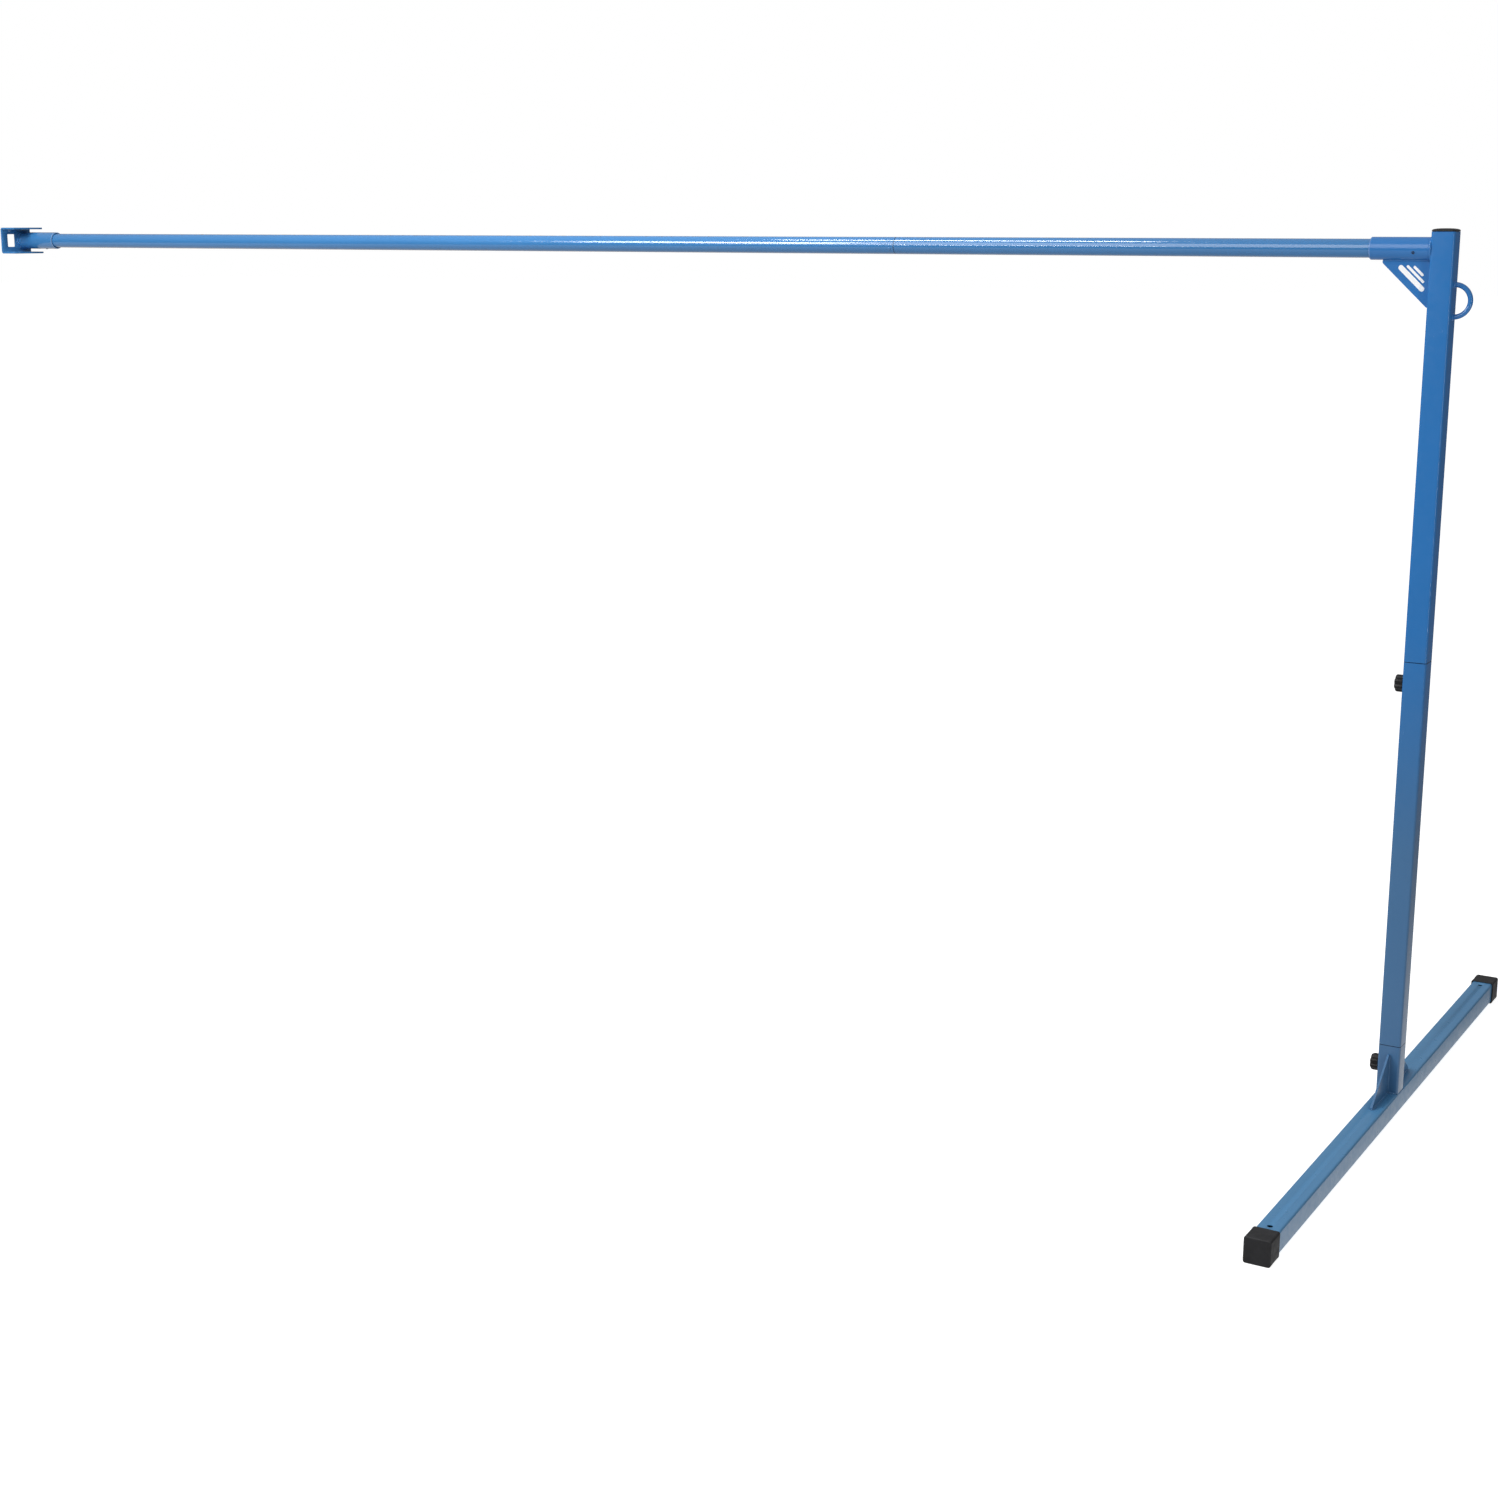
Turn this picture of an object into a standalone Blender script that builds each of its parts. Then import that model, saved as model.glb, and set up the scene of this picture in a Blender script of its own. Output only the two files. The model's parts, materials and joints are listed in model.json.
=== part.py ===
"""One bay of a free-standing overhead bar frame, drawn in metres.

The frame stands on +Z up: X runs along the bar, Y along the foot. The origin is on the floor,
under the middle of the post. The bar leaves the post towards -X, and the front is -Y.
"""

from math import cos, pi, radians, sin

import bmesh
import bpy
from mathutils import Matrix, Vector

# Clearance between neighbouring pieces
GAP = 0.0003

# Square tube of the foot, the stub and the two posts
TUBE = 0.050
TUBE_WALL = 0.002
TUBE_RADIUS = 0.005
SPIGOT = 0.045
SPIGOT_LENGTH = 0.190

# Foot
FOOT_LENGTH = 1.870
CAP_WALL = 0.003
CAP_END_WALL = 0.004
CAP_LENGTH = 0.056
CAP_EDGE = 0.0018
STAKE_HOLE_Y = 0.857
STAKE_HOLE_RADIUS = 0.006

# Upright
STUB_LENGTH = 0.1125
LOWER_LENGTH = 0.886
UPPER_LENGTH = 0.922
KNOB_BELOW_JOINT = 0.052

# Heights that follow from the lengths
FOOT_BOTTOM = CAP_WALL + GAP
FOOT_TOP = FOOT_BOTTOM + TUBE
STUB_BOTTOM = FOOT_TOP + GAP
STUB_TOP = STUB_BOTTOM + STUB_LENGTH
LOWER_BOTTOM = STUB_TOP + GAP
LOWER_TOP = LOWER_BOTTOM + LOWER_LENGTH
UPPER_BOTTOM = LOWER_TOP + GAP
UPPER_TOP = UPPER_BOTTOM + UPPER_LENGTH

# Gusset plates
PLATE = 0.005
PLATE_NOSE = 0.006
STUB_GUSSET_REACH = 0.124
STUB_GUSSET_HEIGHT = 0.093
CORNER_GUSSET_REACH = 0.105
CORNER_GUSSET_HEIGHT = 0.099

# Bar and its sleeves
BAR_BELOW_TOP = 0.0358
BAR_Z = UPPER_TOP - BAR_BELOW_TOP
BAR_RADIUS = 0.020
BAR_WALL = 0.002
SLEEVE_RADIUS = 0.02415
SLEEVE_WALL = 0.0032
SLEEVE_LENGTH = 0.131
BAR_INSERT = 0.127
BAR_JOINT_X = -1.298
FERRULE_RADIUS = 0.0177
FERRULE_WALL = 0.0025
FERRULE_LENGTH = 0.200
RIVET_FROM_JOINT = 0.011

# Bracket on the free end of the bar
BRACKET_X = -4.273
BRACKET_HEIGHT = 0.076
BRACKET_DEPTH = 0.058
BRACKET_FRONT = -0.084
BRACKET_REAR = 0.026
BRACKET_BEND = 0.0065
WINDOW_WIDTH = 0.030
WINDOW_HEIGHT = 0.038
WINDOW_Y = -0.048
WINDOW_RADIUS = 0.0025
BRACKET_SLEEVE_LENGTH = 0.142
BRACKET_INSERT = 0.130
BRACKET_SCREW_INSET = 0.045

# Tie loop on the far side of the post
LOOP_ROD = 0.0055
LOOP_RADIUS = 0.0338
LOOP_STRAIGHT = 0.0012
LOOP_BELOW_TOP = 0.1435

# Clamp knobs: a moulded star knob on an M8 stud, hollow behind for its washer and weld nut
KNOB_RADIUS = 0.0196
KNOB_LOBE = 0.0014
KNOB_LOBES = 7
KNOB_FRONT = 0.0152
KNOB_RECESS_RADIUS = 0.0112
KNOB_EDGE = 0.0030
STUD_RADIUS = 0.004
STUD_BORE = STUD_RADIUS + GAP
STUD_IN_KNOB = 0.010
NUT_ACROSS_FLATS = 0.013
NUT_HEIGHT = 0.0032
WASHER_RADIUS = 0.0105
WASHER_HEIGHT = 0.0013
WALL_HOLE_RADIUS = 0.0046
KNOB_BACK_X = -(TUBE / 2 + 2 * GAP)
KNOB_BASE_X = -(TUBE / 2 + NUT_HEIGHT + WASHER_HEIGHT + 3 * GAP)
KNOB_END_X = KNOB_BASE_X - KNOB_FRONT

# Small fasteners
SCREW_RADIUS = 0.0030
SCREW_PROUD = 0.0012
SCREW_SOCKET = 0.0030
SCREW_SOCKET_DEPTH = 0.0020
SLEEVE_SCREW_X = -0.061
SCREW_TILT = radians(20)
RIVET_RADIUS = 0.0022
RIVET_HEAD_RADIUS = 0.0040
RIVET_HEAD_HEIGHT = 0.0015

# Black plug in the top of the post
POST_CAP_RISE = 0.0062
POST_CAP_SKIRT = 0.018
POST_CAP_SKIRT_WALL = 0.002
POST_CAP_DOME = 0.155

# Facets
CORNER_STEPS = 6
ROUND_STEPS = 64
SMALL_STEPS = 24
LOBE_STEPS = 10
DOME_STEPS = 96
EDGE_STEPS = 3
ROD_STEPS = 4
SHARP_ANGLE = radians(35)
EDGE_ANGLE = radians(60)
MERGE = 1e-6
OVERCUT = 0.004
EMPTY_SIZE = 0.05

# Outline planes: the local XY outline lies in this plane, and its depth runs along the third axis
IN_XY = Matrix.Identity(4)
IN_XZ = Matrix.Rotation(radians(90), 4, "X")
IN_YZ = Matrix(((0, 0, 1), (1, 0, 0), (0, 1, 0))).to_4x4()


def clear_scene():
    """Removes whatever the file starts with."""
    for item in list(bpy.data.objects):
        bpy.data.objects.remove(item, do_unlink=True)


def make_collection(name):
    collection = bpy.data.collections.new(name)
    bpy.context.scene.collection.children.link(collection)
    return collection


def make_material(name, color, roughness, metallic):
    material = bpy.data.materials.new(name)
    material.use_nodes = True
    shader = material.node_tree.nodes["Principled BSDF"]
    shader.inputs["Base Color"].default_value = (*color, 1)
    shader.inputs["Roughness"].default_value = roughness
    shader.inputs["Metallic"].default_value = metallic
    return material


# Outlines, as lists of (x, y)


def circle(radius, steps=ROUND_STEPS):
    return [
        (radius * cos(2 * pi * step / steps), radius * sin(2 * pi * step / steps))
        for step in range(steps)
    ]


def rounded_box(width, height, radius):
    """A rectangle about its middle, with each corner an arc."""
    points = []
    for corner, (side_x, side_y) in enumerate(((1, 1), (-1, 1), (-1, -1), (1, -1))):
        middle = Vector((side_x * (width / 2 - radius), side_y * (height / 2 - radius)))
        for step in range(CORNER_STEPS + 1):
            angle = pi / 2 * (corner + step / CORNER_STEPS)
            points.append(tuple(middle + radius * Vector((cos(angle), sin(angle)))))
    return points


def square_ring(side, wall, radius=TUBE_RADIUS):
    """The section of a square tube: its outer outline and its bore."""
    bore = side - 2 * wall
    return [rounded_box(side, side, radius), rounded_box(bore, bore, radius - wall)]


def round_ring(radius, wall):
    return [circle(radius), circle(radius - wall)]


def hexagon(across_flats):
    return circle(across_flats / (2 * cos(pi / 6)), 6)


def lobed(radius, lobe, lobes):
    """A round outline whose radius swells in even lobes."""
    steps = lobes * LOBE_STEPS
    points = []
    for step in range(steps):
        angle = 2 * pi * step / steps
        reach = radius + lobe * cos(lobes * angle)
        points.append((reach * cos(angle), reach * sin(angle)))
    return points


def gusset_outline(reach, height):
    """A right triangle with its square corner at the origin and short blunt noses."""
    return [(0, 0), (reach, 0), (reach, PLATE_NOSE), (PLATE_NOSE, height), (0, height)]


def channel_outline():
    """A C section that opens towards +x, with its back at x = 0."""
    half = BRACKET_HEIGHT / 2
    inner = half - PLATE
    bend = []
    middle = Vector((BRACKET_BEND, half - BRACKET_BEND))
    for step in range(CORNER_STEPS + 1):
        angle = pi / 2 * (1 + step / CORNER_STEPS)
        bend.append(tuple(middle + BRACKET_BEND * Vector((cos(angle), sin(angle)))))
    upper = [(BRACKET_DEPTH, inner), (BRACKET_DEPTH, half), *bend]
    lower = [(x, -y) for x, y in reversed(upper)]
    return [*upper, *lower, (PLATE, -inner), (PLATE, inner)]


# Solids


def add_object(name, mesh, place, material, collection):
    piece = bpy.data.objects.new(name, mesh)
    piece.matrix_world = place
    mesh.materials.clear()
    mesh.materials.append(material)
    mesh.shade_smooth()
    mesh.set_sharp_from_angle(angle=SHARP_ANGLE)
    collection.objects.link(piece)
    return piece


def mesh_of_curve(curve):
    """The closed mesh of a filled curve, with its loose caps welded on."""
    guide = bpy.data.objects.new(curve.name, curve)
    bpy.context.scene.collection.objects.link(guide)
    graph = bpy.context.evaluated_depsgraph_get()
    mesh = bpy.data.meshes.new_from_object(guide.evaluated_get(graph))
    bpy.data.objects.remove(guide, do_unlink=True)
    bpy.data.curves.remove(curve)
    form = bmesh.new()
    form.from_mesh(mesh)
    bmesh.ops.remove_doubles(form, verts=form.verts, dist=MERGE)
    bmesh.ops.recalc_face_normals(form, faces=form.faces)
    form.to_mesh(mesh)
    form.free()
    return mesh


def prism(name, loops, depth, place, material, collection):
    """A flat outline, with any inner loops as holes, made `depth` thick about its own plane."""
    curve = bpy.data.curves.new(name + "_outline", "CURVE")
    curve.dimensions = "2D"
    curve.fill_mode = "BOTH"
    curve.extrude = depth / 2
    for loop in loops:
        spline = curve.splines.new("POLY")
        spline.points.add(len(loop) - 1)
        for point, (x, y) in zip(spline.points, loop):
            point.co = (x, y, 0, 1)
        spline.use_cyclic_u = True
    return add_object(name, mesh_of_curve(curve), place, material, collection)


def cylinder(name, radius, depth, place, material, collection):
    form = bmesh.new()
    bmesh.ops.create_cone(
        form, cap_ends=True, segments=SMALL_STEPS, radius1=radius, radius2=radius, depth=depth
    )
    mesh = bpy.data.meshes.new(name)
    form.to_mesh(mesh)
    form.free()
    return add_object(name, mesh, place, material, collection)


def rod(name, path, radius, material, collection):
    """A round rod along a list of points."""
    curve = bpy.data.curves.new(name + "_path", "CURVE")
    curve.dimensions = "3D"
    curve.bevel_depth = radius
    curve.bevel_resolution = ROD_STEPS
    curve.use_fill_caps = True
    spline = curve.splines.new("POLY")
    spline.points.add(len(path) - 1)
    for point, place in zip(spline.points, path):
        point.co = (*place, 1)
    return add_object(name, mesh_of_curve(curve), IN_XY, material, collection)


def turned(name, profile, place, material, collection):
    """A solid turned about local Z. The profile runs from the axis, down its outer side, and back."""
    mesh = bpy.data.meshes.new(name)
    edges = [(index, index + 1) for index in range(len(profile) - 1)]
    mesh.from_pydata([(radius, 0, z) for radius, z in profile], edges, [])
    piece = add_object(name, mesh, place, material, collection)
    screw = piece.modifiers.new("turn", "SCREW")
    screw.steps = SMALL_STEPS
    screw.render_steps = SMALL_STEPS
    screw.use_merge_vertices = True
    screw.merge_threshold = MERGE
    return piece


def boolean(piece, other, operation):
    modifier = piece.modifiers.new(other.name, "BOOLEAN")
    modifier.operation = operation
    modifier.object = other


def bevel(piece, width):
    modifier = piece.modifiers.new("edges", "BEVEL")
    modifier.width = width
    modifier.segments = EDGE_STEPS
    modifier.limit_method = "ANGLE"
    modifier.angle_limit = EDGE_ANGLE


def at(x, y, z):
    return Matrix.Translation((x, y, z))


def around_bar(x, tilt):
    """A place on the bar's axis whose local Z points out of the front, `tilt` below level."""
    return at(x, 0, BAR_Z) @ Matrix.Rotation(radians(90) + tilt, 4, "X")


class Frame:
    """Builds the frame into one collection, and keeps its cutters in another."""

    def __init__(self):
        self.parts = make_collection("overhead_bar_frame")
        self.cutters = make_collection("cutters")
        self.blue = make_material("blue_powder_coat", (0.060, 0.180, 0.420), 0.34, 0.25)
        self.black = make_material("black_plastic", (0.016, 0.016, 0.018), 0.50, 0.0)
        self.zinc = make_material("zinc_plated_steel", (0.560, 0.570, 0.580), 0.32, 1.0)
        self.dark = make_material("black_oxide_steel", (0.030, 0.030, 0.033), 0.42, 0.9)
        self.carrier = None

    def joint(self, name, location):
        """An empty on a joint's axis. Pieces built until the next one are parented to it."""
        empty = bpy.data.objects.new(name, None)
        empty.location = location
        empty.empty_display_size = EMPTY_SIZE
        self.parts.objects.link(empty)
        bpy.context.view_layer.update()
        self.carrier = empty

    def carried(self, piece):
        piece.parent = self.carrier
        piece.matrix_parent_inverse = self.carrier.matrix_world.inverted()
        return piece

    def prism(self, name, loops, depth, place, material):
        return self.carried(prism(name, loops, depth, place, material, self.parts))

    def cylinder(self, name, radius, depth, place, material):
        return self.carried(cylinder(name, radius, depth, place, material, self.parts))

    def guide(self, piece):
        """Marks a piece that only cuts or joins others."""
        piece.hide_render = True
        piece.display_type = "WIRE"
        return piece

    def cutter(self, name, loops, depth, place):
        return self.guide(prism(name, loops, depth, place, self.dark, self.cutters))

    def drill(self, name, radius, depth, place):
        return self.guide(cylinder(name, radius, depth, place, self.dark, self.cutters))

    def square_tube(self, name, side, bottom, top):
        middle = at(0, 0, (bottom + top) / 2)
        return self.prism(name, square_ring(side, TUBE_WALL), top - bottom, middle, self.blue)

    def round_tube(self, name, radius, wall, start, end):
        """A round tube on the bar's axis, between two values of x."""
        middle = at((start + end) / 2, 0, BAR_Z) @ IN_YZ
        return self.prism(name, round_ring(radius, wall), abs(end - start), middle, self.blue)

    # Foot

    def foot_beam(self):
        cap_inside = FOOT_LENGTH / 2 - CAP_END_WALL - GAP
        place = at(0, 0, FOOT_BOTTOM + TUBE / 2) @ IN_XZ
        ring = square_ring(TUBE, TUBE_WALL)
        beam = self.prism("foot_beam", ring, 2 * cap_inside, place, self.blue)
        depth = TUBE + 2 * OVERCUT
        for name, y in (("stake_hole_front", -STAKE_HOLE_Y), ("stake_hole_rear", STAKE_HOLE_Y)):
            middle = at(0, y, FOOT_BOTTOM + TUBE / 2)
            boolean(beam, self.drill(name, STAKE_HOLE_RADIUS, depth, middle), "DIFFERENCE")

    def foot_cap(self, name, side):
        outer = TUBE + 2 * (GAP + CAP_WALL)
        bore = TUBE + 2 * GAP
        end = side * FOOT_LENGTH / 2
        height = outer / 2
        middle = at(0, end - side * CAP_LENGTH / 2, height) @ IN_XZ
        outline = rounded_box(outer, outer, TUBE_RADIUS)
        cap = self.prism(name, [outline], CAP_LENGTH, middle, self.black)
        bevel(cap, CAP_EDGE)
        inside = CAP_LENGTH - CAP_END_WALL + OVERCUT
        place = at(0, end - side * (CAP_END_WALL + inside / 2), height) @ IN_XZ
        hollow = rounded_box(bore, bore, TUBE_RADIUS + GAP)
        boolean(cap, self.cutter(name + "_hollow", [hollow], inside, place), "DIFFERENCE")

    def stub_gusset(self, name, side):
        outline = gusset_outline(STUB_GUSSET_REACH, STUB_GUSSET_HEIGHT)
        loop = [(side * (TUBE / 2 + GAP + y), z) for y, z in outline]
        self.prism(name, [loop], PLATE, at(0, 0, STUB_BOTTOM) @ IN_YZ, self.blue)

    # Clamp knobs, all on the -X face of a tube at height z

    def wall_hole(self, tube, z):
        place = at(-TUBE / 2, 0, z) @ IN_YZ
        depth = 2 * (TUBE_WALL + OVERCUT)
        boolean(tube, self.drill(tube.name + "_hole", WALL_HOLE_RADIUS, depth, place), "DIFFERENCE")

    def knob_nut(self, name, z):
        loops = [hexagon(NUT_ACROSS_FLATS), circle(STUD_BORE, SMALL_STEPS)]
        middle = -(TUBE / 2 + GAP + NUT_HEIGHT / 2)
        self.prism(name, loops, NUT_HEIGHT, at(middle, 0, z) @ IN_YZ, self.zinc)

    def knob_washer(self, name, z):
        loops = [circle(WASHER_RADIUS, SMALL_STEPS), circle(STUD_BORE, SMALL_STEPS)]
        middle = -(TUBE / 2 + NUT_HEIGHT + 2 * GAP + WASHER_HEIGHT / 2)
        self.prism(name, loops, WASHER_HEIGHT, at(middle, 0, z) @ IN_YZ, self.zinc)

    def knob(self, name, z):
        star = [lobed(KNOB_RADIUS, KNOB_LOBE, KNOB_LOBES)]
        place = at((KNOB_BACK_X + KNOB_END_X) / 2, 0, z) @ IN_YZ
        handle = self.prism(name, star, KNOB_BACK_X - KNOB_END_X, place, self.black)
        bevel(handle, KNOB_EDGE)
        depth = KNOB_BACK_X - KNOB_BASE_X + OVERCUT
        place = at(KNOB_BASE_X + depth / 2, 0, z) @ IN_YZ
        recess = self.drill(name + "_recess", KNOB_RECESS_RADIUS, depth, place)
        boolean(handle, recess, "DIFFERENCE")
        depth = STUD_IN_KNOB + GAP + OVERCUT
        place = at(KNOB_BASE_X + OVERCUT - depth / 2, 0, z) @ IN_YZ
        boolean(handle, self.drill(name + "_bore", STUD_BORE, depth, place), "DIFFERENCE")

    def knob_stud(self, name, z):
        """The stud presses on the spigot's face, and enters no hole in it."""
        tip = -(SPIGOT / 2 + GAP)
        end = KNOB_BASE_X - STUD_IN_KNOB
        place = at((tip + end) / 2, 0, z) @ IN_YZ
        self.cylinder(name, STUD_RADIUS, tip - end, place, self.zinc)

    def clamp(self, name, z):
        """The washer rides out with the knob, and the knob turns on it."""
        self.joint(name + "_washer_axis", (-TUBE / 2, 0, z))
        self.knob_washer(name + "_washer", z)
        self.joint(name + "_axis", (-TUBE / 2, 0, z))
        self.knob(name, z)
        self.knob_stud(name + "_stud", z)

    # Upright

    def post_cap(self):
        """A domed plate on the tube's end, with a skirt inside the bore."""
        plate = rounded_box(TUBE, TUBE, TUBE_RADIUS)
        bottom = UPPER_TOP + GAP
        place = at(0, 0, bottom + POST_CAP_RISE / 2)
        cap = self.prism("post_cap", [plate], POST_CAP_RISE, place, self.black)
        form = bmesh.new()
        bmesh.ops.create_uvsphere(
            form, u_segments=DOME_STEPS, v_segments=DOME_STEPS, radius=POST_CAP_DOME
        )
        mesh = bpy.data.meshes.new("post_cap_dome")
        form.to_mesh(mesh)
        form.free()
        centre = at(0, 0, bottom + POST_CAP_RISE - POST_CAP_DOME)
        dome = add_object("post_cap_dome", mesh, centre, self.dark, self.cutters)
        boolean(cap, self.guide(dome), "INTERSECT")
        side = TUBE - 2 * (TUBE_WALL + GAP)
        ring = square_ring(side, POST_CAP_SKIRT_WALL, TUBE_RADIUS - TUBE_WALL)
        depth = POST_CAP_SKIRT + OVERCUT / 2
        middle = at(0, 0, bottom - POST_CAP_SKIRT + depth / 2)
        boolean(cap, self.cutter("post_cap_skirt", ring, depth, middle), "UNION")

    def corner_gusset(self):
        outline = gusset_outline(CORNER_GUSSET_REACH, CORNER_GUSSET_HEIGHT)
        loop = [(-(TUBE / 2 + GAP + x), -z) for x, z in outline]
        top = at(0, 0, BAR_Z - SLEEVE_RADIUS - GAP) @ IN_XZ
        self.prism("corner_gusset", [loop], PLATE, top, self.blue)

    def tie_loop(self):
        face = TUBE / 2 + GAP
        middle = UPPER_TOP - LOOP_BELOW_TOP
        path = [(face, 0, middle + LOOP_RADIUS)]
        for step in range(SMALL_STEPS + 1):
            angle = pi / 2 - pi * step / SMALL_STEPS
            x = face + LOOP_STRAIGHT + LOOP_RADIUS * cos(angle)
            path.append((x, 0, middle + LOOP_RADIUS * sin(angle)))
        path.append((face, 0, middle - LOOP_RADIUS))
        self.carried(rod("tie_loop", path, LOOP_ROD, self.blue, self.parts))

    def set_screw(self, name, sleeve, place):
        """A socket screw through a sleeve's wall. Its point stops just short of the bar."""
        tip = BAR_RADIUS + 2 * GAP
        head = SLEEVE_RADIUS + SCREW_PROUD
        middle = place @ at(0, 0, (tip + head) / 2)
        screw = self.cylinder(name, SCREW_RADIUS, head - tip, middle, self.dark)
        depth = 2 * SCREW_SOCKET_DEPTH
        socket = [hexagon(SCREW_SOCKET)]
        mouth = place @ at(0, 0, head)
        boolean(screw, self.cutter(name + "_socket", socket, depth, mouth), "DIFFERENCE")
        depth = 2 * (SLEEVE_WALL + OVERCUT)
        wall = place @ at(0, 0, SLEEVE_RADIUS)
        cut = self.drill(name + "_hole", SCREW_RADIUS + GAP, depth, wall)
        boolean(sleeve, cut, "DIFFERENCE")

    # Bar

    def rivet(self, name, tube, ferrule, place):
        """A dome-headed rivet through the bar's wall and the ferrule's wall."""
        foot = FERRULE_RADIUS - FERRULE_WALL - RIVET_RADIUS / 2
        seat = BAR_RADIUS + GAP
        crown = seat + RIVET_HEAD_HEIGHT
        dome = []
        for step in range(1, CORNER_STEPS + 1):
            angle = pi / 2 * step / CORNER_STEPS
            rise = RIVET_HEAD_HEIGHT * cos(angle)
            dome.append((RIVET_HEAD_RADIUS * sin(angle), seat + rise))
        profile = [(0, crown), *dome, (RIVET_RADIUS, seat), (RIVET_RADIUS, foot), (0, foot)]
        self.carried(turned(name, profile, place, self.zinc, self.parts))
        bottom = FERRULE_RADIUS - FERRULE_WALL
        middle = place @ at(0, 0, (bottom + BAR_RADIUS) / 2)
        depth = BAR_RADIUS - bottom + OVERCUT
        cut = self.drill(name + "_hole", RIVET_RADIUS + GAP, depth, middle)
        boolean(tube, cut, "DIFFERENCE")
        boolean(ferrule, cut, "DIFFERENCE")

    # Bracket

    def bracket_channel(self):
        length = BRACKET_REAR - BRACKET_FRONT
        middle = at(BRACKET_X, (BRACKET_FRONT + BRACKET_REAR) / 2, BAR_Z) @ IN_XZ
        channel = self.prism("bracket_channel", [channel_outline()], length, middle, self.blue)
        window = [rounded_box(WINDOW_WIDTH, WINDOW_HEIGHT, WINDOW_RADIUS)]
        place = at(BRACKET_X, WINDOW_Y, BAR_Z) @ IN_YZ
        cut = self.cutter("bracket_window", window, 2 * (PLATE + OVERCUT), place)
        boolean(channel, cut, "DIFFERENCE")

    def build(self):
        # The foot stands still, and every other group moves on it
        self.joint("foot_base", (0, 0, 0))
        self.foot_beam()
        self.foot_cap("foot_cap_front", -1)
        self.foot_cap("foot_cap_rear", 1)
        stub = self.square_tube("foot_stub", TUBE, STUB_BOTTOM, STUB_TOP)
        self.stub_gusset("stub_gusset_front", -1)
        self.stub_gusset("stub_gusset_rear", 1)
        lower_knob_z = STUB_TOP - KNOB_BELOW_JOINT
        self.wall_hole(stub, lower_knob_z)
        self.knob_nut("lower_knob_nut", lower_knob_z)
        self.clamp("lower_knob", lower_knob_z)

        # Each post plugs down into the tube below it
        self.joint("lower_post_axis", (0, 0, LOWER_BOTTOM))
        lower_post = self.square_tube("lower_post", TUBE, LOWER_BOTTOM, LOWER_TOP)
        half = SPIGOT_LENGTH / 2
        self.square_tube("lower_spigot", SPIGOT, LOWER_BOTTOM - half, LOWER_BOTTOM + half)
        upper_knob_z = LOWER_TOP - KNOB_BELOW_JOINT
        self.wall_hole(lower_post, upper_knob_z)
        self.knob_nut("upper_knob_nut", upper_knob_z)
        self.clamp("upper_knob", upper_knob_z)

        self.joint("upper_post_axis", (0, 0, UPPER_BOTTOM))
        self.square_tube("upper_post", TUBE, UPPER_BOTTOM, UPPER_TOP)
        self.square_tube("upper_spigot", SPIGOT, UPPER_BOTTOM - half, UPPER_BOTTOM + half)
        self.post_cap()
        sleeve_start = -(TUBE / 2 + GAP)
        sleeve_end = sleeve_start - SLEEVE_LENGTH
        sleeve = self.round_tube("bar_sleeve", SLEEVE_RADIUS, SLEEVE_WALL, sleeve_start, sleeve_end)
        self.corner_gusset()
        self.tie_loop()
        self.set_screw("sleeve_set_screw", sleeve, around_bar(SLEEVE_SCREW_X, SCREW_TILT))

        # The bar is two lengths of tube, joined end to end by a ferrule
        bar_start = sleeve_end + BAR_INSERT
        self.joint("bar_right_axis", (bar_start, 0, BAR_Z))
        self.round_tube("bar_section_right", BAR_RADIUS, BAR_WALL, bar_start, BAR_JOINT_X)

        self.joint("bar_left_axis", (BAR_JOINT_X, 0, BAR_Z))
        bracket_face = BRACKET_X + PLATE + GAP
        bracket_mouth = bracket_face + BRACKET_SLEEVE_LENGTH
        bar_left = (BAR_JOINT_X - GAP, bracket_mouth - BRACKET_INSERT)
        tube = self.round_tube("bar_section_left", BAR_RADIUS, BAR_WALL, *bar_left)
        ends = (BAR_JOINT_X + FERRULE_LENGTH / 2, BAR_JOINT_X - FERRULE_LENGTH / 2)
        ferrule = self.round_tube("bar_ferrule", FERRULE_RADIUS, FERRULE_WALL, *ends)
        rivet_x = BAR_JOINT_X - RIVET_FROM_JOINT
        self.rivet("ferrule_rivet_front", tube, ferrule, around_bar(rivet_x, SCREW_TILT))
        self.rivet("ferrule_rivet_rear", tube, ferrule, around_bar(rivet_x, SCREW_TILT + pi))

        self.joint("end_bracket_axis", (bracket_face, 0, BAR_Z))
        self.bracket_channel()
        sleeve = self.round_tube(
            "bracket_sleeve", SLEEVE_RADIUS, SLEEVE_WALL, bracket_face, bracket_mouth
        )
        screw_x = bracket_mouth - BRACKET_SCREW_INSET
        self.set_screw("bracket_set_screw", sleeve, around_bar(screw_x, radians(90)))


clear_scene()
Frame().build()
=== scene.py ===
import json
import random
from math import cos, pi, radians, sin, sqrt

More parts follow.
